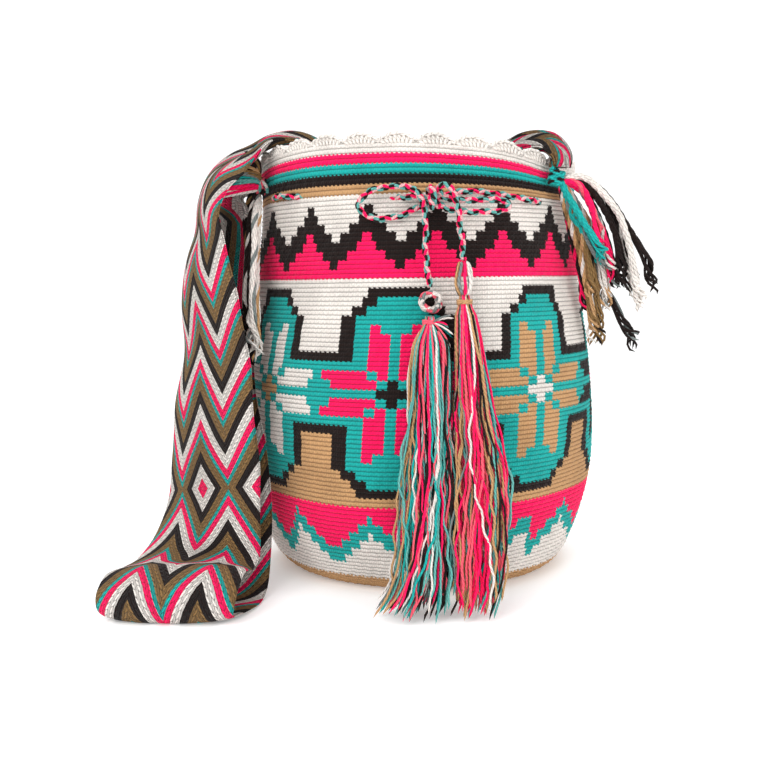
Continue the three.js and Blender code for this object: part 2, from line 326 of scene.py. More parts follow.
def makeBraidRelief():
    # finger braid: rows of plied yarn along the chevron's arms, whose short segments lean to and fro;
    # uv braid is the pattern's cycle along, and metres across
    inputs = {"Rows": ("NodeSocketFloat", 15.0), "Segments": ("NodeSocketFloat", 460.0)}
    tree, given, result = newGroup("braidRelief", inputs, reliefOutputs)
    cycle, across = uvOf(tree, "braid")
    wobble = mathOf(tree, "SUBTRACT", noiseOf(tree, objectPlace(tree), 260.0, 1.0), 0.5)
    rows = mathOf(tree, "MULTIPLY_ADD", cycle, given.outputs["Rows"], mathOf(tree, "MULTIPLY", wobble, 0.5))
    row = mathOf(tree, "ABSOLUTE", mathOf(tree, "SINE", mathOf(tree, "MULTIPLY", rows, math.pi)))
    parity = mathOf(tree, "FRACT", mathOf(tree, "MULTIPLY", mathOf(tree, "FLOOR", rows), 0.5))
    way = mathOf(tree, "MULTIPLY_ADD", parity, 4.0, -1.0)
    slant = mathOf(tree, "MULTIPLY", mathOf(tree, "FRACT", rows), way)
    lean = mathOf(tree, "MULTIPLY_ADD", across, given.outputs["Segments"], slant)
    steps = mathOf(tree, "ABSOLUTE", mathOf(tree, "SINE", mathOf(tree, "MULTIPLY", lean, math.pi)))
    fuzz = noiseOf(tree, objectPlace(tree), 2600.0, 2.0)
    height = mathOf(tree, "MULTIPLY_ADD", row, 0.7, steps)
    height = mathOf(tree, "MULTIPLY_ADD", fuzz, 0.2, height)
    tree.links.new(height, result.inputs["Height"])
    # painted shade between the rows and between the short segments, with a faint painted highlight on their
    # tops
    rowShade = rangeOf(tree, row, 0.0, 0.6, 0.6, 1.05)
    stepShade = rangeOf(tree, steps, 0.0, 0.6, 0.45, 1.06)
    tree.links.new(mathOf(tree, "MULTIPLY", rowShade, stepShade), result.inputs["Shade"])
    return tree


cottonToneAndShade = makeCottonToneAndShade()
stitchRelief = makeStitchRelief()
plyTwist = makePlyTwist()
braidRelief = makeBraidRelief()


def groupIn(tree, group):
    node = tree.nodes.new("ShaderNodeGroup")
    node.node_tree = group
    return node


def cottonMaterial(name, relief, colourFrom, bumpMetres, settings=None, tone=(0.08, 0.14), sheen=0.05):
    # relief is a group with Height and Shade; colourFrom(tree) gives the colour socket
    material = bpy.data.materials.new(name)
    material.use_nodes = True
    tree = material.node_tree
    shader = tree.nodes["Principled BSDF"]
    shape = groupIn(tree, relief)
    for label, value in (settings or {}).items():
        shape.inputs[label].default_value = value
    cotton = groupIn(tree, cottonToneAndShade)
    cotton.inputs["Patches"].default_value = tone[0]
    cotton.inputs["Flecks"].default_value = tone[1]
    tree.links.new(colourFrom(tree), cotton.inputs["Colour"])
    # the relief's painted shade and highlight go into the base colour
    tree.links.new(shape.outputs["Shade"], cotton.inputs["Shade"])
    tree.links.new(cotton.outputs["Colour"], shader.inputs["Base Color"])
    tree.links.new(cotton.outputs["Rough"], shader.inputs["Roughness"])
    bump = tree.nodes.new("ShaderNodeBump")
    bump.inputs["Distance"].default_value = bumpMetres
    bump.inputs["Strength"].default_value = 1.0
    tree.links.new(shape.outputs["Height"], bump.inputs["Height"])
    tree.links.new(bump.outputs["Normal"], shader.inputs["Normal"])
    shader.inputs["Sheen Weight"].default_value = sheen
    shader.inputs["Sheen Roughness"].default_value = 0.6
    shader.inputs["Specular IOR Level"].default_value = 0.15
    return material


def yarnColour(tree):
    node = tree.nodes.new("ShaderNodeAttribute")
    node.attribute_name = "yarn"
    return node.outputs["Color"]


crochetMaterial = cottonMaterial("crocheted_cotton", stitchRelief, yarnColour, 0.0007)
yarnMaterial = cottonMaterial("loose_yarn", plyTwist, yarnColour, 0.0004, {"Turns": 260.0, "Plies": 2.0})
plaitMaterial = cottonMaterial("plaited_yarn", plyTwist, yarnColour, 0.0004, {"Turns": 420.0, "Plies": 3.0})
print("materials ready")

bag = {
    "rimHeight": 0.3055,
    "thickness": 0.004,
    "rounds": 102,
    # the strap pulls the rim down where it is tied: degrees from the front, and millimetres up
    "settling": (
        [-180, -120, -85, -66, -35, 0, 29, 43, 52, 75, 120, 180],
        [0, -1, -3, 1, 4.5, 3, -1, -6, -10, -9, -2, 0],
    ),
    "settlesAbove": 0.268,
    "settlesOver": 0.033,
    "drawnIn": 0.0006,  # how far the wall is drawn in, on the whole
    "flowerRound": 49,
    # rounds worked, and how far up the wall they reach
    "roundsAt": [0, 6, 26, 102],
    "sharesAt": [0, 0.0602, 0.2693, 1],
    "stitches": 224,
    "frontFlower": -7.5,  # degrees from the front to the middle of the front flower
    "leanRounds": 21.0,  # the stitches lean one stitch to the right in this many rounds
    "belly": 0.135,
    "flattening": 0.1,
    "flatteningAbove": 0.165,
    "flatteningBelow": 0.14,
    # half width and height, from the rounded foot to the rim
    "profile": [
        (0.098, 0.0), (0.105, 0.003), (0.112, 0.009), (0.1175, 0.018), (0.122, 0.030), (0.126, 0.044),
        (0.1295, 0.060), (0.132, 0.080), (0.133, 0.102), (0.133, 0.125), (0.1318, 0.150), (0.129, 0.175),
        (0.1255, 0.200), (0.1225, 0.225), (0.1207, 0.250), (0.1198, 0.280), (0.1195, 0.308),
    ],
}

profileLine = smoothLine([(r, 0, z) for r, z in bag["profile"]])[:, ::2]
profileLine = profileLine[profileLine[:, 1] <= bag["rimHeight"]]
profileRun = lengths(profileLine)


def depthRatio(z):
    reach = np.where(z > bag["belly"], bag["flatteningAbove"], bag["flatteningBelow"])
    return 1 - bag["flattening"] * ((z - bag["belly"]) / reach) ** 2


def halfWidth(z):
    return np.interp(z, profileLine[:, 1], profileLine[:, 0])


def profileAt(run, k):
    return np.interp(run, profileRun, profileLine[:, k])


def wallPoint(share, degrees, offset):
    # share up the wall's run, degrees by stitch count from the front, offset out of the wall
    run = share * profileRun[-1]
    r, z = profileAt(run, 0), profileAt(run, 1)
    near = 0.001  # how far on either side the slope is taken
    wider, ahead = (profileAt(run + near, k) - profileAt(run - near, k) for k in (0, 1))
    size = np.hypot(ahead, wider)
    outward, upward = ahead / size, -wider / size
    ratio = depthRatio(z)
    theta = np.radians(degrees)
    squash = (1 - ratio) / (1 + ratio)
    phi = theta - 0.5 * squash * np.sin(2 * theta)  # stitches stay the same width round the oval
    x = (r + offset * outward) * np.sin(phi)
    y = -(r * ratio + offset * outward) * np.cos(phi)
    turned = np.degrees(phi)
    settled = sum(np.interp(turned + step, *bag["settling"], period=360) for step in (-6, 0, 6)) / 3000
    z = z + settled * np.clip((z - bag["settlesAbove"]) / bag["settlesOver"], 0, 1)
    return np.stack([x, y, z + offset * upward], axis=-1)


# bands from the foot up, each as many steps tall, and a step is two rounds
wallBands = [
    ("tan", 3), ("white", 2), ("lowTeeth", 6), ("pink", 1), ("tan", 1), ("flowers", 23), ("white", 1),
    ("highTeeth", 8), ("white", 1), ("tan", 1), ("brown", 1), ("teal", 1), ("pink", 1), ("white", 1),
]
flowerYarns = [(pink, brown), (tan, white), (brown, pink), (white, tan)]  # petals and heart
flowerWidth = 28
lowToothWidth = 16
lowToothShift = -5
highToothWidth = 14
highBrownReach = {7: 1, 6: 2, 5: 4, 4: 6}
highPinkReach = {4: 1, 3: 2, 2: 4, 1: 6, 0: 7}


# the low teeth are uneven, as given: at each stitch of the first list,
# the pattern is that of the stitch in the same place of the second
unevenStitches = [-112, -40, -24, -18.3, -9.4, 20.5, 28.4, 31.2, 45, 112]
patternStitches = [-112, -42, -26.3, -18.3, -10.8, 20.2, 26.1, 34.7, 47, 112]


def lowTeeth(stitch, step):
    half = bag["stitches"] // 2
    stitch = np.round(np.interp((stitch + half) % bag["stitches"] - half, unevenStitches, patternStitches))
    away = np.abs((stitch - lowToothShift + lowToothWidth / 2) % lowToothWidth - lowToothWidth / 2)
    yarn = np.full(stitch.shape, pink)
    yarn[away < 2 * (6 - step) - 1] = teal
    yarn[away < 2 * (4 - step) - 1] = white
    return yarn


def highTeeth(stitch, step):
    away = np.abs(stitch % highToothWidth - highToothWidth / 2)
    brownReach = np.array([highBrownReach.get(k, 7) for k in range(8)])[step]
    pinkReach = np.array([highPinkReach.get(k, 0) for k in range(8)])[step]
    yarn = np.full(stitch.shape, white)
    yarn[away < brownReach] = brown
    yarn[away < pinkReach] = pink
    return yarn


def flowers(stitch, step):
    rise = step - 11
    up = np.abs(rise)
    half = flowerWidth // 2
    which = np.floor((stitch + half) / flowerWidth).astype(int) % len(flowerYarns)
    across = (stitch + half) % flowerWidth - half - (which == 1)
    left = across < 0
    apart = np.abs(across)
    full = (rise > 0) & (((which == 1) & ~left) | ((which == 3) & left))
    # the flowers at the sides were worked narrower than the front one, most of all above their middles
    upperInner = np.where(which == 0, 8, np.where(left, 7, 6))
    upperOuter = np.where(which == 0, 11, np.where(left, 9, 8))
    inner = np.where(rise > 0, upperInner, 8)
    outer = np.where(rise > 0, upperOuter, np.where(left, 11, 10))
    for k, (inside, outside) in {9: (2, 2), 10: (4, 4), 11: (20, 5)}.items():
        inner = np.where(up == k, inner - np.where(full, inside // 2, inside), inner)
        outer = np.where(up == k, outer - np.where(full, outside // 2, outside), outer)
    yarn = np.where(rise > 0, white, tan)
    yarn = np.where((up >= 5) & (apart < outer), brown, yarn)
    yarn = np.where((up >= 5) & (apart < inner), teal, yarn)
    yarn = np.where(up == 4, np.where(apart < inner, teal, brown), yarn)
    yarn = np.where(up <= 3, teal, yarn)
    petals = np.array([pair[0] for pair in flowerYarns])[which]
    hearts = np.array([pair[1] for pair in flowerYarns])[which]
    petalOut = np.where(left | (rise < 0) | (which == 0), 5, 4)
    upright = (up >= 3) & (up <= 6) & (apart >= 1) & (apart < petalOut)
    upright |= (up == 7) & (apart >= petalOut - 2) & (apart < petalOut)
    upright |= (up == 2) & (apart >= 1) & (apart < 3)
    level = (up == 2) & (apart >= 5) & (apart < np.where(left, 14, 12))
    level |= (up == 1) & (apart >= 3) & (apart < np.where(left, 12, 11))
    yarn = np.where(upright | level, petals, yarn)
    heart = ((up == 0) & (apart < 3)) | ((up == 1) & (apart < 1))
    return np.where(heart, hearts, yarn)


def wallYarn(stitch, step):
    # the yarn of each stitch: stitch is its middle, counted from the front flower, and step counts up
    yarn = np.full(stitch.shape, white)
    rules = {"lowTeeth": lowTeeth, "flowers": flowers, "highTeeth": highTeeth}
    low = 0
    for name, steps in wallBands:
        here = (step >= low) & (step < low + steps)
        if name in rules:
            yarn[here] = rules[name](stitch[here], step[here] - low)
        else:
            yarn[here] = yarnOrder.index(name)
        low += steps
    return yarn


def bagWall(name, firstRound, lastRound, offset, perStitch, perRound, relief, facing=1):
    # a band of crocheted wall, with perStitch by perRound quads to a stitch
    columns = bag["stitches"] * perStitch
    up = np.arange(firstRound * perRound, lastRound * perRound + 1) / perRound
    across = np.arange(columns + 1) / perStitch
    rounds, stitches = np.meshgrid(up, across[:-1], indexing="ij")
    within = rounds % 1
    ridge = np.sin(np.pi * within) ** 0.7
    legs = 0.5 - 0.5 * np.cos(2 * np.pi * stitches)
    height = offset + relief * (ridge - 0.6) + 0.25 * relief * (legs - 0.5) * ridge
    lean = (rounds - bag["flowerRound"]) / bag["leanRounds"] + 0.28 * (within - 0.5)
    degrees = bag["frontFlower"] + (stitches + lean) * 360 / bag["stitches"]
    theta = np.radians(degrees)
    # a stuffed soft bag is never quite even
    swell = 0.0011 * np.sin(3 * theta + 0.09 * rounds) + 0.0008 * np.sin(7 * theta - 0.13 * rounds + 1.3)
    fade = np.clip(rounds / 10, 0, 1) * np.clip((bag["rounds"] - rounds) / 8, 0.35, 1)
    counted = np.floor(rounds)
    hand = 0.00025 * np.sin(stitches * 2.4 + 5.1 * counted) + 0.0002 * np.sin(0.37 * stitches * counted)
    share = np.interp(rounds, bag["roundsAt"], bag["sharesAt"])
    points = wallPoint(share, degrees, height + (swell - bag["drawnIn"]) * fade + hand)
    points[..., 2] = np.maximum(points[..., 2], 0.0002)
    quads = gridQuads(len(up), columns, closed=True)
    uv = gridUV(across, up)
    row, column = np.meshgrid(np.arange(len(up) - 1), np.arange(columns), indexing="ij")
    roundAt = np.floor(up[:-1][row] + 1e-6).astype(int)
    sub = row % perRound
    tooth = (sub == perRound - 1) & (column % perStitch == perStitch - 1)  # the stitch above hooks in here
    lookRound = np.minimum(roundAt + tooth, bag["rounds"] - 1)
    yarn = wallYarn(np.floor(across[:-1][column] + 1e-6) + 0.5, lookRound // 2)
    if facing < 0:
        quads = quads[:, ::-1]
        uv = uv.reshape(-1, 4, 2)[:, ::-1].reshape(-1, 2)
    paint = wallPalette[yarn.ravel()]
    return meshPiece(name, points.reshape(-1, 3), quads, crochetMaterial, uv, "stitch", paint)


splitRound = 50
wallLower = bagWall("wall_lower", 0, splitRound, 0.0, 2, 4, 0.0007)
wallUpper = bagWall("wall_upper", splitRound, bag["rounds"], 0.0, 2, 4, 0.0007)
wallInside = bagWall("wall_inside", 1, bag["rounds"], -bag["thickness"], 1, 2, -0.0006, -1)
print("wall done")


disc = {"rounds": 32, "perRound": 2, "columns": 112, "relief": 0.0005}


def discOf(name, height, edge, facing):
    # the base, worked in rounds from its middle
    columns = disc["columns"]
    rings = np.arange(disc["rounds"] * disc["perRound"] + 1) / disc["perRound"]
    ringGrid, spoke = np.meshgrid(rings, np.arange(columns), indexing="ij")
    radius = edge * ringGrid / disc["rounds"]
    relief = disc["relief"] * np.abs(np.sin(np.pi * ringGrid)) * facing
    theta = spoke * 2 * np.pi / columns
    ratio = depthRatio(np.array(0.0))
    points = np.stack([radius * np.sin(theta), -radius * ratio * np.cos(theta), height + relief], axis=-1)
    quads = gridQuads(len(rings), columns, closed=True)
    uv = gridUV(np.arange(columns + 1) * 2.0, rings)
    if facing < 0:
        quads = quads[:, ::-1]
        uv = uv.reshape(-1, 4, 2)[:, ::-1].reshape(-1, 2)
    paint = np.tile(yarns["tan"], (len(quads), 1))
    return meshPiece(name, points.reshape(-1, 3), quads, crochetMaterial, uv, "stitch", paint)


baseUnder = discOf("base_under", 0.0006, 0.0985, -1)
baseInside = discOf("base_inside", 0.0042, 0.102, 1)


lace = {
    "fans": 28,
    "stitches": 8,  # in each fan
    "rise": 0.0064,
    "stitchRadius": 0.00125,
    "edgeRadius": 0.00115,
    "sides": (-0.0006, -0.0032),  # where the two rows of fans stand, out of the wall
    "ground": (-0.0005, -0.0035),
}


def rimLace():
    # the scalloped white edge: fans of tall stitches that share their feet,
    # on a close ground, with a corded top
    paths = []
    fans, rise = lace["fans"], lace["rise"]
    for side in lace["sides"]:
        for fan in range(fans):
            for k in range(lace["stitches"]):
                lean = (k - (lace["stitches"] - 1) / 2) / lace["stitches"]
                foot = (fan + 0.5 + 0.7 * lean) * 360 / fans
                head = (fan + 0.5 + 1.0 * lean) * 360 / fans
                tall = rise * math.cos(lean * 2.4)
                t = np.linspace(0, 1, 7)
                line = wallPoint(np.full(7, 1.0), foot + (head - foot) * t, side)
                line[:, 2] += -0.0012 + tall * t
                paths.append(line)
    paint = np.tile(yarns["white"], (len(paths), 1))
    feet = yarnPiece("rim_lace_fans", paths, lace["stitchRadius"], paint, yarnMaterial, 6)
    t = np.linspace(0, 1, fans * 24 + 1)
    edges = []
    for layer in range(3):
        ripple = 0.0004 * np.sin(t * np.pi * fans * 9 + layer * 2.1)
        line = wallPoint(np.full(len(t), 1.0), t * 360, -0.0009 - 0.001 * layer + ripple)
        wave = np.abs(np.sin(t * np.pi * fans)) ** 0.8
        line[:, 2] += 0.001 + (rise - 0.0014) * wave + 0.0005 * np.cos(t * np.pi * fans * 9 + layer * 2.1)
        edges.append(line)
    paint = np.tile(yarns["white"], (len(edges), 1))
    top = yarnPiece("rim_lace_edge", edges, lace["edgeRadius"], paint, yarnMaterial, 6)
    ground = []
    for offset in lace["ground"]:
        line = wallPoint(np.full(len(t), 1.0), t * 360, offset)
        ground.append(line + [0, 0, -0.001])
        line[:, 2] += 0.0004 + (rise - 0.002) * np.abs(np.sin(t * np.pi * fans)) ** 0.8
        ground.append(line)
    rows = np.array([ground[0], ground[1], ground[3], ground[2]])
    quads = gridQuads(4, len(t))
    uv = gridUV(t * bag["stitches"], np.array([0.0, 2.0, 2.5, 4.5]))
    paint = np.tile(yarns["white"], (len(quads), 1))
    back = meshPiece("rim_lace_ground", rows.reshape(-1, 3), quads, crochetMaterial, uv, "stitch", paint)
    return feet, top, back


laceFans, laceEdge, laceGround = rimLace()
for piece in (wallLower, wallUpper, wallInside, baseUnder, baseInside, laceFans, laceEdge, laceGround):
    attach(piece, "root")
    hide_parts("bag_body")
print("bag done")

strap = {
    "width": 0.088,
    "length": 1.0,
    "thickness": 0.0042,
    "cycle": 0.042,  # one repeat of the chevrons along the band
    "arm": 0.0182,  # half the height of a chevron
    "diamondHeight": 0.0742,  # where the chevrons turn round, on the way down
    "firstBand": 0.009,
    "loose": 0.17,  # the end at the left tie is not braided: its yarns run side by side
    "loosensOver": 0.03,
    "gathered": 0.042,  # the very end is pulled together
    "gathersOver": 0.01,
    # where the band turns up at the floor, its fold swallows part of a repeat
    "foldAfter": 0.062,
    "foldOver": 0.016,
    "foldSwallows": 0.0115,
    "stripesAt": [0, 0.3, 0.5, 0.6, 0.7, 0.79, 0.89, 0.9, 1],
    "stripes": [-1.2, -0.6, -0.2, 0.02, 0.25, 0.36, 0.53, 0.79, 0.97],
    "rows": 760,
    "columns": 48,
    # edges in millimetres as they lie, and how much the middle stands proud of them
    "stations": [
        ((101.6, -68.7, 293.2), (94, -79.5, 293.2), 1), ((105, -64, 301.5), (93, -81, 300), 1),
        ((101, -55, 311.5), (86, -74, 308), 1), ((92, -47, 318), (76, -65, 309), 0),
        ((79, -42, 319), (66, -59, 305), 0), ((62, -38, 313), (52, -57, 299), -1),
        ((36, -32, 305), (32, -58, 296), -2), ((0, -26, 303), (0, -60, 295), -3),
        ((-42, -27, 307), (-38, -58, 298), -2), ((-70, -28, 319), (-65, -56, 309), -1),
        ((-88, -28, 323), (-84, -58, 317), 0), ((-106, -28, 320.5), (-102, -64, 317), 0),
        ((-122, -30, 316), (-113, -72, 303), 1), ((-139, -34, 309), (-119, -80, 292), 3),
        ((-150, -38, 295), (-129, -90, 281), 5), ((-157, -40, 275), (-134, -98, 265), 6),
        ((-162, -40, 255), (-129, -102, 246), 7), ((-170, -41, 233), (-125, -105, 225), 8),
        ((-173, -44, 201), (-120, -108, 203), 9), ((-173, -48, 165), (-114, -110, 171), 9),
        ((-179, -54, 128), (-112, -112, 137), 9), ((-182, -60, 92), (-109, -112, 103), 9),
        ((-182, -70, 63), (-109, -111, 75), 9), ((-188, -88, 41), (-109, -111, 50), 8),
        ((-197, -105, 27), (-110, -114, 31), 6), ((-204, -122, 24), (-113, -124, 26), 4),
        ((-208, -140, 26), (-115, -142, 28), 4), ((-210, -154, 19), (-117, -159, 20), 4),
        ((-209, -157, 9), (-119, -163, 9), 3), ((-205, -150, 3), (-120, -156, 3), 2),
        ((-197, -130, 2.8), (-112, -138, 2.8), 0), ((-191, -105, 3.5), (-107, -116, 3.5), 0),
        ((-187, -86, 14), (-105, -102, 16), 0), ((-184, -66, 47), (-104, -96, 47), 0),
        ((-182, -52, 75), (-103.5, -96, 75), 0), ((-181, -44, 103), (-107, -94, 103), 0),
        ((-179, -36, 132), (-112, -88, 128), 0), ((-176, -30, 160), (-116, -79, 154), 0),
        ((-172, -24, 195), (-119.5, -64, 190), 0), ((-165, -20, 232), (-119, -59, 230), 0),
        ((-159, -20, 262), (-118, -60, 254), 0), ((-152, -20, 288), (-121, -58, 270), 1),
        ((-140, -27, 303), (-126, -53, 276), 1), ((-128.5, -40, 299), (-126.5, -48, 279), 1),
        ((-121.9, -45.5, 292), (-121.9, -46, 280), 1),
    ],
}


def strapColour(tree):
    # the yarns of one chevron repeat, laid side by side
    cycle, _ = uvOf(tree, "braid")
    ramp = tree.nodes.new("ShaderNodeValToRGB")
    ramp.color_ramp.interpolation = "CONSTANT"
    order = [("olive", 0.0), ("teal", 0.25), ("pink", 0.36), ("white", 0.54), ("brown", 0.785)]
    elements = ramp.color_ramp.elements
    while len(elements) < len(order):
        elements.new(0.5)
    for element, (yarn, start) in zip(elements, order):
        element.position = start
        element.color = yarns[yarn]
    tree.links.new(mathOf(tree, "FRACT", cycle), ramp.inputs["Fac"])
    return ramp.outputs["Color"]


strapMaterial = cottonMaterial("braided_cotton", braidRelief, strapColour, 0.0011, None, (0.08, 0.16))


def shoulderStrap():
    rows, columns = strap["rows"], strap["columns"]
    edgeA = np.array([station[0] for station in strap["stations"]]) / 1000
    edgeB = np.array([station[1] for station in strap["stations"]]) / 1000
    proud = np.array([(station[2], 0, 0) for station in strap["stations"]]) / 1000
    lines = [smoothLine(points, 0.0, 40) for points in (edgeA, edgeB, proud)]
    middle = (lines[0] + lines[1]) / 2
    run = lengths(middle)
    at = np.linspace(0, run[-1], rows)
    a, b, c = (np.stack([np.interp(at, run, line[:, k]) for k in range(3)], axis=1) for line in lines)
    spine = (a + b) / 2
    along = unit(np.gradient(spine, axis=0))
    normal = unit(np.cross(along, b - a))
    share = np.linspace(0, 1, columns + 1)
    side = 2 * share - 1
    body = a[:, None] + (b - a)[:, None] * share[None, :, None]
    bulge = c[:, :1] * (1 - side[None] ** 2)
    # the band ruffles a little where it is gathered
    narrow = np.clip(1 - np.linalg.norm(b - a, axis=1) / strap["width"], 0, 1)[:, None]
    ruffle = 0.0026 * narrow * np.sin(side[None] * 4.2 * np.pi * narrow + at[:, None] * 20)
    wave = 0.0007 * np.sin(at[:, None] * 95 + side[None] * 2.2)
    lift = bulge + np.where(np.abs(side)[None] < 1, ruffle * (1 - side[None] ** 4), 0) + wave
    plump = 1 + 2.9 * narrow**3
    rounded = np.sqrt(np.clip(1 - np.abs(side)[None] ** (7 - 5 * narrow), 0.03, 1))
    half = strap["thickness"] / 2 * plump * rounded
    top = body + normal[:, None] * (lift + half)[..., None]
    under = body + normal[:, None] * (lift - half)[..., None]
    for face in (top, under):
        face[..., 2] = np.maximum(face[..., 2], 0.0004)
    points = np.concatenate([top.reshape(-1, 3), under.reshape(-1, 3)])
    grid = gridQuads(rows, columns + 1)
    lower = grid[:, ::-1] + rows * (columns + 1)
    base = rows * (columns + 1)
    index = np.arange(rows * (columns + 1)).reshape(rows, columns + 1)

    def stitchEdges(line, flip):
        pairs = np.stack([line[:-1], line[1:], line[1:] + base, line[:-1] + base], axis=1)
        return pairs[:, ::-1] if flip else pairs

    borders = [(index[:, 0], True), (index[:, -1], False), (index[0], False), (index[-1], True)]
    rim = np.vstack([stitchEdges(line, flip) for line, flip in borders])
    quads = np.vstack([grid, lower, rim])
    # where each point lies in the pattern: repeats along the band, and metres across it
    zig = np.abs(((share * 2) % 1) * 2 - 1) * 2 - 1  # 1 at both edges and the middle, -1 between
    diamond = at[np.flatnonzero(spine[:, 2] < strap["diamondHeight"])[0]]
    into = np.abs(at[:, None] - diamond) - strap["arm"] * zig[None] - strap["firstBand"]
    folded = np.clip((at[:, None] - diamond - strap["foldAfter"]) / strap["foldOver"], 0, 1)
    into = into + strap["foldSwallows"] * folded**2 * (3 - 2 * folded)
    loosened = np.clip((at[:, None] - run[-1] + strap["loose"]) / strap["loosensOver"], 0, 1)
    stripes = np.interp(share, strap["stripesAt"], strap["stripes"])[None]
    gathered = np.clip((at[:, None] - run[-1] + strap["gathered"]) / strap["gathersOver"], 0, 1)
    stripes = stripes * (1 - gathered) + (0.26 + 0.5 * share[None]) * gathered
    whole = np.round((run[-1] - strap["loose"] - diamond) / strap["cycle"])
    cycle = (into / strap["cycle"] - whole) * (1 - loosened) + stripes * loosened
    sideways = share * strap["width"] + loosened * (at[:, None] - share * strap["width"])
    pattern = np.stack([cycle, sideways], axis=-1)
    flat = np.concatenate([pattern.reshape(-1, 2), pattern.reshape(-1, 2)])
    uv = flat[quads.ravel()]
    return meshPiece("strap_band", points, quads, strapMaterial, uv, "braid"), run[-1]


strapBand, strapRun = shoulderStrap()
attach(strapBand, "root")
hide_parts("shoulder_strap")
print("strap done", round(strapRun, 3))

cord = {
    "out": 0.0032,
    "inside": -0.0073,
    "strandRadius": 0.00102,
    "layRadius": 0.00112,
    "turn": 0.0155,  # length of one turn of a strand round the cord
    "yarns": "pink mint blush brown",
    "bowKnot": {
        "middle": (0.0105, -0.1215, 0.2705), "axis": (1, 0.1, 0.3), "radius": 0.0062, "rise": 0.0055,
        "turns": 1.7, "yarns": "pink mint blush brown", "strand": 0.00102,
    },
    "leftEndAndLoop": [
        (8, -127, 212.5), (5.5, -124.5, 236), (5.5, -124, 256), (3, -125.5, 270), (-4, -123, 276.5),
        (-14, -118.5, 278), (-30, -116.3, 275.5), (-38, -116.5, 267), (-30, -117.5, 258.5),
        (-14, -118.2, 258.5), (-2, -116.8, 263), (8, -116, 268.5), (20, -115, 272.5),
    ],
    # degrees from the front, 1 outside the wall or 0 inside it, and height
    "aroundTheBag": [
        (16, 1, 275), (27, 1, 273), (39, 1, 270), (53, 0, 269.5), (68, 0, 270), (88, 0, 271),
        (106, 0, 272), (124, 1, 273), (143, 0, 273), (161, 0, 273), (180, 1, 273), (199, 0, 273),
        (217, 0, 273), (236, 1, 273), (254, 0, 273), (272, 0, 274), (292, 0, 276), (309, 1, 277),
        (328, 0, 273), (342, 0, 270.5),
    ],
    "rightLoopAndEnd": [
        (-5, -116.2, 271.5), (3, -119.4, 271.5), (11, -121.8, 268), (17, -122, 264.5), (24, -121.5, 262),
        (41, -119.5, 260.8), (56, -115, 262), (61, -113, 265.2), (55, -114.5, 268.4), (41, -117.5, 268.6),
        (26, -120, 268.7), (17, -122, 271.5), (14, -125.5, 276), (19, -128.5, 278), (24, -128.5, 271),
        (26.5, -127.5, 262), (28, -125, 250), (29.5, -124.5, 238), (29.7, -125.6, 229.5),
    ],
}


def besideWall(degrees, offset, z):
    angle = math.radians(degrees)
    across = float(halfWidth(z))
    deep = across * float(depthRatio(z))
    normal = np.array([math.sin(angle) / across, -math.cos(angle) / deep, 0])
    normal = normal / np.linalg.norm(normal)
    return np.array([across * math.sin(angle), -deep * math.cos(angle), z]) + normal * offset


def ringRound(line, side, other, angle, reach):
    # the line, carried out at an angle by a reach
    return line + (side * np.cos(angle)[:, None] + other * np.sin(angle)[:, None]) * reach[:, None]


def plait(line, yarnNames, layRadius, turn):
    # four strands that pass over and under each other round the line
    side, other = (found[0] for found in carriedFrames(line[None]))
    phase = lengths(line) / turn * 2 * math.pi
    paths = []
    for k in range(4):
        way = 1 if k < 2 else -1
        start = math.pi * (k % 2) + (0 if k < 2 else math.pi / 2)
        angle = way * phase + start
        weave = way * np.cos(2 * phase + (math.pi if k % 2 else 0))
        reach = layRadius + 0.32 * layRadius * weave
        paths.append(ringRound(line, side, other, angle, reach))
    return np.array(paths), dyed(yarnNames)


def cordLine():
    laced = []
    for degrees, outside, height in cord["aroundTheBag"]:
        laced.append(besideWall(degrees, cord["out"] if outside else cord["inside"], height / 1000))
    hanging = np.array(cord["leftEndAndLoop"]) / 1000
    tied = np.array(cord["rightLoopAndEnd"]) / 1000
    return smoothLine(np.vstack([hanging, laced, tied]))


drawLine = cordLine()
drawLength = lengths(drawLine)[-1]
drawLine = evenly(drawLine, int(drawLength / 0.0012))
strands, strandYarns = plait(drawLine, cord["yarns"], cord["layRadius"], cord["turn"])
drawstring = yarnPiece("drawstring_cord", strands, cord["strandRadius"], strandYarns, plaitMaterial, 6)
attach(drawstring, "root")
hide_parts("drawstring")


def knotWraps(name, plan):
    # a plaited end wound round: middle and axis of the winding, and how far it climbs
    axis = unit(np.array(plan["axis"], float))
    first = unit(np.cross(axis, [0.3, 0.2, 1.0]))
    second = np.cross(axis, first)
    t = np.linspace(0, 1, int(60 * plan["turns"]))
    angle = t * plan["turns"] * 2 * math.pi
    line = np.array(plan["middle"]) + axis * ((t - 0.5) * plan["rise"])[:, None]
    line = ringRound(line, first, second, angle, np.full(len(t), plan["radius"]))
    paths, colours = plait(line, plan["yarns"], plan["strand"] * 1.15, 0.016)
    return yarnPiece(name, paths, plan["strand"], colours, plaitMaterial, 6)


bowKnot = knotWraps("bow_knot", cord["bowKnot"])
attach(bowKnot, "root")
print("drawstring done", round(drawLength, 3))

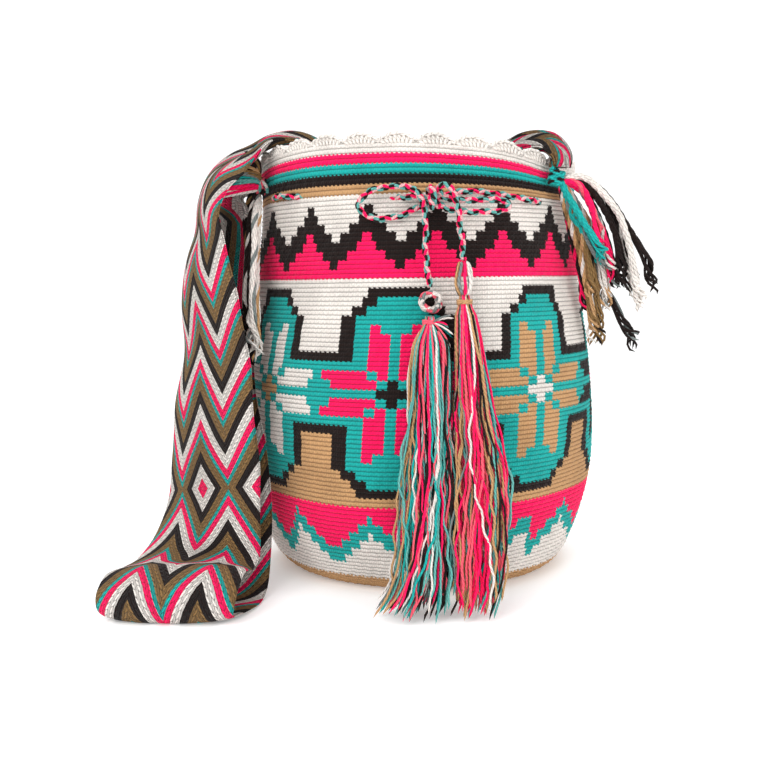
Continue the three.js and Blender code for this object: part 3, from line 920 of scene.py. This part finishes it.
tassels = {
    "yarnRadius": 0.00082,
    "rings": 44,
    "left": {
        "yarns": 150,
        "mix": "mint brown teal white mint brown pink grey teal brown white coral mint brown tan",
        "sections": [
            (8, -132.5, 194.6, 3.2, 3.2), (8, -134.6, 190.5, 3.3, 3.3), (8, -135.4, 188.6, 3.5, 3.5),
            (8, -137, 185, 7, 6), (8, -140, 177, 12, 8), (7.5, -143, 163, 13.5, 9),
            (7, -145, 130, 14, 9.5), (6, -147, 100, 16.5, 10), (5, -147.5, 70, 17, 10),
            (3, -148, 40, 19, 11), (-1, -149, 18, 22, 13), (-7, -151, 6, 26, 16), (-9, -152, 0.5, 28, 18),
        ],
    },
    "right": {
        "yarns": 140,
        "mix": "pink coral mint pink white coral teal pink brown tan mint tan brown tan grey coral",
        "sections": [
            (30, -130.5, 208, 3.3, 3.3), (30, -132.6, 203, 3.3, 3.3), (30, -133.2, 201, 3.5, 3.5),
            (30.5, -135, 196.5, 6.5, 5.5), (32, -138, 180, 9, 7), (33.5, -141, 160, 11, 8),
            (35.5, -144, 130, 13, 9), (39, -146, 100, 15.5, 9.5), (40, -147, 70, 17, 10),
            (39.5, -147.5, 40, 16, 10), (38, -148, 18, 14.5, 11), (36, -149, 6, 13, 12),
            (35, -150, 0.5, 13, 13),
        ],
    },
    "tie": {"radius": 0.0042, "height": 0.0024, "turns": 3, "yarnRadius": 0.0009},
    "longEnds": {
        "start": (0.0095, -0.1385, 0.1903), "fan": (-75, 40), "reach": (0.010, 0.016), "yarnRadius": 0.00065,
        "mix": "white mint brown white coral teal white brown mint pink white grey",
    },
    "ring": {
        "middle": (0.0085, -0.1285, 0.2035), "axis": (0.05, 1, 0.12), "radius": 0.0056, "rise": 0.003,
        "turns": 1.7, "yarns": "white coral grey white", "strand": 0.00105,
    },
    "loops": {
        "top": (0.0297, -0.1262, 0.2292), "forward": 0.0042, "drop": 0.0232, "neck": 0.0021, "swell": 0.0032,
        "yarnRadius": 0.001, "mix": "white teal pink white brown tan grey pink white",
    },
}


def hangingYarns(name, plan, seed):
    # many wavy yarns that hang through the sections of a bundle
    draw = np.random.default_rng(seed)
    count = plan["yarns"]
    rings = tassels["rings"]
    sections = np.array(plan["sections"]) / 1000
    centre = smoothLine(sections[:, :3])
    run = lengths(centre)
    sectionRun = lengths(sections[:, :3]) * run[-1] / lengths(sections[:, :3])[-1]
    # neighbours share a colour in small clumps, and each yarn keeps its place in the bundle
    angle = np.sort(draw.random(count)) * 2 * math.pi
    radial = np.sqrt(draw.random(count)) * 0.97
    mix = dyed(plan["mix"])
    clump = (np.cumsum(draw.random(count) < 0.5) + draw.integers(0, 3, count)) % len(mix)
    colours = mix[clump]
    paths = np.zeros((count, rings, 3))
    for k in range(count):
        end = run[-1] * (0.9 + 0.1 * draw.random())
        at = np.linspace(0, end, rings)
        t = at / run[-1]
        middle = np.stack([np.interp(at, run, centre[:, j]) for j in range(3)], axis=1)
        wide = np.interp(at, sectionRun, sections[:, 3])
        deep = np.interp(at, sectionRun, sections[:, 4])
        turn = angle[k] + draw.normal(0, 0.18) * t + 0.2 * np.sin(t * draw.uniform(3, 8) + draw.random() * 6)
        out = radial[k] * (1 + draw.normal(0, 0.08) * t)
        stray = 1 + 1.2 * (draw.random() < 0.25)
        loose = np.clip((t - 0.12) * 3, 0, 1)
        crimp = 0.00045 * stray * loose * np.sin(at * draw.uniform(200, 330) + draw.random() * 6)
        sway = 0.0025 * stray**0.6 * loose * np.sin(at * draw.uniform(28, 55) + draw.random() * 6)
        paths[k, :, 0] = middle[:, 0] + wide * out * np.cos(turn) + sway + crimp
        paths[k, :, 1] = middle[:, 1] + deep * out * np.sin(turn) + 0.4 * crimp - 0.25 * np.abs(sway)
        paths[k, :, 2] = middle[:, 2] + 0.4 * crimp
        # what reaches the floor lies along it
        low = paths[k, :, 2] < 0.0012
        paths[k, low, 2] = 0.0012 + 0.002 * draw.random()
    paths[..., 1] = np.minimum(paths[..., 1], -wallDepthAt(paths[..., 0], paths[..., 2]) - 0.0012)
    paths[..., 2] = np.maximum(paths[..., 2], tassels["yarnRadius"] + 0.0001)
    radii = tassels["yarnRadius"] * draw.uniform(0.85, 1.15, count)[:, None] * np.ones((1, rings))
    return yarnPiece(name, paths, radii, colours, yarnMaterial, 5)


def wallDepthAt(x, z):
    # how far in front of the middle the outside of the wall is, at x and z
    across = halfWidth(np.clip(z, 0, bag["rimHeight"]))
    deep = across * depthRatio(np.clip(z, 0, bag["rimHeight"]))
    return deep * np.sqrt(np.clip(1 - (x / across) ** 2, 0, 1))


tasselLeft = hangingYarns("tassel_left_yarns", tassels["left"], 21)
tasselRight = hangingYarns("tassel_right_yarns", tassels["right"], 34)
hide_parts("tassel_left")
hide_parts("tassel_right")


def tieEnds():
    # a few ends left long where the left tassel was tied
    plan = tassels["longEnds"]
    draw = np.random.default_rng(61)
    paths = []
    t = np.linspace(0, 1, 9)[:, None]
    colours = dyed(plan["mix"])
    for angle in np.linspace(*plan["fan"], len(colours)):
        heading = math.radians(angle)
        reach = draw.uniform(*plan["reach"])
        ahead = np.array([math.cos(heading), -0.15 + draw.normal(0, 0.2), math.sin(heading)])
        sag = np.array([0.0, 0.0, -0.005]) * t**2
        paths.append(np.array(plan["start"]) + ahead * reach * t + sag)
    return yarnPiece("tassel_left_tie_ends", paths, plan["yarnRadius"], colours, yarnMaterial, 5)


def windingOf(name, middle, yarnName):
    plan = tassels["tie"]
    t = np.linspace(0, 1, int(plan["turns"] * 26))
    angle = t * plan["turns"] * 2 * math.pi
    wound = [np.cos(angle) * plan["radius"], np.sin(angle) * plan["radius"], (t - 0.5) * plan["height"]]
    line = np.stack(wound, axis=1)
    line = line + np.array(middle) + 0.0003 * np.sin(angle[:, None] * np.array([3.1, 2.3, 1.7]))
    return yarnPiece(name, line[None], plan["yarnRadius"], dyed(yarnName), yarnMaterial, 6)


tieLeftEnds = tieEnds()
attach(tieLeftEnds, "root")
tieLeft = windingOf("tassel_tie_left_yarn", (0.008, -0.1346, 0.1905), "coral")
tieRight = windingOf("tassel_tie_right_yarn", (0.030, -0.1326, 0.203), "tan")
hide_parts("tassel_tie_left")
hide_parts("tassel_tie_right")
ringLeft = knotWraps("tassel_ring", tassels["ring"])
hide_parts("tassel_ring_left")
print("tassels done")


def loopsRight():
    # the yarn loops that the right tassel hangs by
    plan = tassels["loops"]
    draw = np.random.default_rng(5)
    colours = dyed(plan["mix"])
    paths = []
    for k in range(len(colours)):
        angle = 2 * math.pi * k / len(colours)
        t = np.linspace(0, 1, 14)
        swell = np.sin(t * math.pi) * plan["swell"] + plan["neck"]
        x = plan["top"][0] + swell * math.cos(angle) + 0.0004 * np.sin(t * 9 + k)
        y = plan["top"][1] - plan["forward"] * t + swell * 0.8 * math.sin(angle)
        z = plan["top"][2] - t * plan["drop"] + 0.0004 * draw.random()
        paths.append(np.stack([x, y, z], axis=1))
    return yarnPiece("tassel_loops", paths, plan["yarnRadius"], colours, yarnMaterial, 6)


loops = loopsRight()
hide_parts("tassel_loops_right")
for piece, slotName in (
    (tasselLeft, "loose_yarn"), (tasselRight, "loose_yarn"), (loops, "loose_yarn"),
    (ringLeft, "plaited_cord"), (tieLeft, "binding_yarn"), (tieRight, "binding_yarn"),
):
    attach(piece, "root")

fringe = {
    # each cord's four yarns, then where it hangs, in millimetres
    "right": [
        ("teal teal teal teal", [(100, -76, 284), (102, -77, 277), (108, -77, 267), (116, -75, 254),
            (124, -74, 243), (129, -72, 235)]),
        ("teal teal grey teal", [(99, -76, 283), (103, -74, 274), (107, -71, 263), (114, -69, 252),
            (121, -68, 242), (130, -66, 228)]),
        ("pink pink coral pink", [(101, -76, 284), (111, -77, 281), (119, -75, 269), (124, -73, 256),
            (127, -71, 245)]),
        ("pink white grey pink", [(101, -76, 284), (113, -72, 278), (122, -68, 266), (129, -66, 252),
            (133, -65, 239), (137, -63, 221)]),
        ("white white white white", [(101, -76, 286), (115, -75, 286), (129, -72, 275),
            (140, -71, 261), (146, -69, 246), (150, -68, 232), (153, -67, 218), (157, -66, 201)]),
        ("brown brown brown brown", [(101, -76, 284), (116, -73, 282), (129, -69, 267),
            (138, -67, 250), (142, -66, 235), (144, -64, 217)]),
        ("brown brown brown white", [(101, -76, 284), (119, -70, 281), (134, -64, 266),
            (143, -62, 249), (148, -61, 234), (149, -59, 214)]),
        ("brown brown brown brown", [(101, -76, 285), (120, -71, 283), (136, -65, 270),
            (148, -64, 252), (157, -63, 238), (163, -61, 228), (166, -60, 212)]),
        ("brown grey brown brown", [(101, -76, 284), (114, -68, 280), (126, -62, 263),
            (134, -60, 244), (138, -59, 228), (142, -57, 213)]),
        ("olive olive tan olive", [(100, -76, 282), (105, -73, 271), (111, -69, 256), (117, -67, 240),
            (121, -66, 224), (123, -64, 207)]),
        ("olive olive olive brown", [(100, -76, 282), (106, -70, 270), (115, -63, 254),
            (121, -62, 236), (125, -61, 219), (128, -59, 202), (130, -58, 174)]),
        ("tan olive tan white", [(100, -76, 282), (103, -71, 268), (109, -65, 252), (115, -64, 234),
            (119, -63, 216), (123, -61, 197), (126, -60, 176)]),
        ("white tan white white", [(101, -76, 282), (110, -68, 269), (121, -61, 251), (128, -59, 234),
            (132, -58, 219), (131, -56, 203)]),
        ("white grey white tan", [(101, -76, 282), (113, -67, 267), (125, -59, 250), (133, -57, 233),
            (135, -56, 218), (135, -54, 200)]),
        ("brown brown grey brown", [(101, -76, 282), (108, -68, 266), (117, -59, 247),
            (125, -55, 229), (133, -53, 213), (141, -52, 200), (149, -51, 185), (158, -50, 171)]),
        ("brown pink brown brown", [(99, -76, 281), (104, -67, 266), (109, -60, 250), (113, -58, 233),
            (118, -57, 216), (122, -55, 200)]),
        ("pink brown white pink", [(99, -76, 281), (104, -65, 268), (109, -57, 251), (114, -55, 233),
            (119, -54, 214), (121, -52, 201)]),
        ("white white grey white", [(101, -76, 284), (119, -66, 278), (137, -58, 262),
            (147, -56, 244), (152, -55, 225), (155, -53, 210)]),
    ],
    "left": [
        ("white white tan white", [(-114, -48, 281), (-112, -67, 262), (-112, -77, 240),
            (-112, -84, 210), (-112, -91, 170)]),
        ("brown brown brown brown", [(-115, -49, 281), (-115, -66, 262), (-116, -74, 240),
            (-117, -80, 210), (-117, -86, 182)]),
        ("brown white brown brown", [(-117, -49, 281), (-118, -64, 262), (-119, -71, 240),
            (-120, -77, 212), (-120, -83, 190)]),
        ("white white grey white", [(-114, -48, 281), (-114, -70, 262), (-113, -80, 240),
            (-114, -88, 212), (-114, -94, 176)]),
        ("brown olive brown brown", [(-118, -48, 283), (-122, -52, 272), (-123, -56, 262),
            (-121, -62, 245), (-119, -68, 215)]),
        ("brown brown pink brown", [(-116, -48, 281), (-117, -62, 262), (-118, -68, 240),
            (-118, -73, 214), (-118, -78, 188)]),
    ],
    "strandRadius": 0.00092,
    "opensAt": 0.66,  # the twist opens into loose ends
    "knotRight": {
        "middle": (0.0962, -0.0752, 0.2868), "axis": (0.2, -0.1, 1), "radius": 0.0036, "rise": 0.0085,
        "turns": 3.2, "yarns": "teal teal brown teal", "strand": 0.00115,
    },
    "knotLeft": {
        "middle": (-0.1151, -0.0461, 0.2862), "axis": (1, 0.1, 0.15), "radius": 0.0046, "rise": 0.0105,
        "turns": 3.2, "yarns": "coral mint brown white", "strand": 0.00125,
    },
}


def fringeOf(name, cords, seed):
    draw = np.random.default_rng(seed)
    rings = 46
    paths, colours = [], []
    for names, route in cords:
        line = evenly(smoothLine(np.array(route) / 1000), rings)
        side, other = (found[0] for found in carriedFrames(line[None]))
        t = np.linspace(0, 1, rings)
        opened = np.clip((t - fringe["opensAt"]) / 0.34, 0, 1) ** 1.5
        for k, yarnName in enumerate(names.split()):
            for ply in range(2):
                angle = 2 * math.pi * (k / 4 + 0.11 * ply) + lengths(line) * 230 * (1 - 0.5 * opened)
                splay = draw.uniform(0.3, 2.2)
                reach = (0.0013 + 0.0004 * ply) * np.clip(0.55 + t * 6, 0, 1) + 0.0016 * splay * opened
                wave = 0.0013 * opened * np.sin(t * draw.uniform(20, 46) + draw.random() * 6)
                drop = 0.012 * opened * draw.uniform(-0.4, 0.8)
                path = ringRound(line, side, other, angle, reach) + side * wave[:, None]
                path[:, 2] -= drop
                paths.append(path)
                colours.append(yarns[yarnName])
    return yarnPiece(name, paths, fringe["strandRadius"], np.array(colours), yarnMaterial, 5)


fringeRight = fringeOf("fringe_right", fringe["right"], 11)
fringeLeft = fringeOf("fringe_left", fringe["left"], 12)
knotRight = knotWraps("knot_right", fringe["knotRight"])

gathering = {
    "yarns": 52,
    "yarnRadius": 0.0011,
    "spread": 0.0011,
    "mix": "brown olive grey brown tan brown olive grey teal mint teal pink pink white",
    # where the first yarn starts, bends and ends, and how far off the last one does
    "start": ((-0.1230, -0.0500, 0.3100), (-0.020, -0.014, -0.032)),
    "bend": ((-0.1085, -0.0520, 0.3090), (0, 0, -0.024)),
    "end": ((-0.1140, -0.0490, 0.2890), (0, 0, -0.005)),
}


def strapEnd():
    # the strap's last yarns, gathered from its edge into the left knot
    draw = np.random.default_rng(52)
    mix = dyed(gathering["mix"])
    t = np.linspace(0, 1, 15)[:, None]
    paths, colours = [], []
    for share in np.arange(gathering["yarns"]) / (gathering["yarns"] - 1):
        places = [np.array(gathering[key]) for key in ("start", "bend", "end")]
        start, bend, end = (first + share * further for first, further in places)
        start, bend = (place + draw.normal(0, gathering["spread"], 3) for place in (start, bend))
        paths.append((1 - t) ** 2 * start + 2 * t * (1 - t) * bend + t**2 * end)
        colours.append(mix[int(share * (len(mix) - 0.01))])
    return yarnPiece("strap_end_yarns", paths, gathering["yarnRadius"], np.array(colours), yarnMaterial, 6)


gatheredEnd = strapEnd()
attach(gatheredEnd, "root")
knotLeft = knotWraps("knot_left", fringe["knotLeft"])
for piece, node in (
    (fringeRight, "strap_fringe_right"), (fringeLeft, "strap_fringe_left"),
    (knotRight, "strap_knot_right"), (knotLeft, "strap_knot_left"),
):
    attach(piece, "root")
    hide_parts(node)
print("fringes done")

studio = {
    "distance": 0.74,
    "eyeHeight": 0.218,
    "tiltDown": 6.3,
    "turnLeft": 2.1,
    "roll": 0.8,
    "lens": 44.25,
    "floorSize": 6.0,
    "floorBend": 0.9,
    "skyStrength": 0.75,
    # each square lamp: where it hangs, what it aims at, its width and its power
    "lamps": {
        "key": ((-0.9, -1.5, 1.5), (0, 0, 0.15), 1.6, 26),
        "fill": ((1.5, -1.1, 0.9), (0, 0, 0.15), 1.4, 12),
        "top": ((0.0, 0.2, 2.0), (0, 0, 0.1), 2.0, 16),
    },
}


def floorMaterial():
    material = bpy.data.materials.new("pale_floor")
    material.use_nodes = True
    shader = material.node_tree.nodes["Principled BSDF"]
    shader.inputs["Base Color"].default_value = (0.92, 0.92, 0.92, 1)
    shader.inputs["Emission Color"].default_value = (1, 1, 1, 1)
    shader.inputs["Emission Strength"].default_value = 0.2
    shader.inputs["Roughness"].default_value = 0.9
    shader.inputs["Specular IOR Level"].default_value = 0.1
    return material


def sweepFloor():
    # a floor that curves up into a backdrop
    reach = studio["floorSize"]
    line = [(-reach, 0.0), (reach * 0.4, 0.0)]
    bend = studio["floorBend"]
    for k in range(1, 13):
        angle = k / 12 * math.pi / 2
        line.append((reach * 0.4 + bend * math.sin(angle), bend * (1 - math.cos(angle))))
    line.append((reach * 0.4 + bend, reach))
    points = np.array([(x, y, z) for y, z in line for x in (-reach, reach)])
    quads = gridQuads(len(line), 2)
    return meshPiece("floor", points, quads, floorMaterial())


sweepFloor()


def hangLamp(name, place, aim, width, power):
    light = bpy.data.lights.new(name, "AREA")
    light.shape = "RECTANGLE"
    light.size = light.size_y = width
    light.energy = power
    holder = bpy.data.objects.new(name, light)
    holder.location = place
    holder.rotation_euler = (Vector(aim) - Vector(place)).to_track_quat("-Z", "Y").to_euler()
    scene.collection.objects.link(holder)


for name, lamp in studio["lamps"].items():
    hangLamp(name, *lamp)

world = bpy.data.worlds.new("studio")
scene.world = world
world.use_nodes = True
sky = world.node_tree.nodes["Background"]
sky.inputs["Color"].default_value = (1, 1, 1, 1)
sky.inputs["Strength"].default_value = studio["skyStrength"]


def makeCamera():
    data = bpy.data.cameras.new("camera")
    data.lens = studio["lens"]
    data.sensor_width = 36
    data.clip_start = 0.01
    camera = bpy.data.objects.new("camera", data)
    scene.collection.objects.link(camera)
    turn, tilt, roll = (math.radians(studio[key]) for key in ("turnLeft", "tiltDown", "roll"))
    ahead = Vector((-math.sin(turn) * math.cos(tilt), math.cos(turn) * math.cos(tilt), -math.sin(tilt)))
    level = Vector((math.cos(turn), math.sin(turn), 0))
    upward = level.cross(ahead)
    right = level * math.cos(roll) - upward * math.sin(roll)
    top = level * math.sin(roll) + upward * math.cos(roll)
    frameOf = Matrix((right, top, -ahead)).transposed().to_4x4()
    camera.matrix_world = Matrix.Translation((0, -studio["distance"], studio["eyeHeight"])) @ frameOf
    scene.camera = camera


makeCamera()
print("stage done")
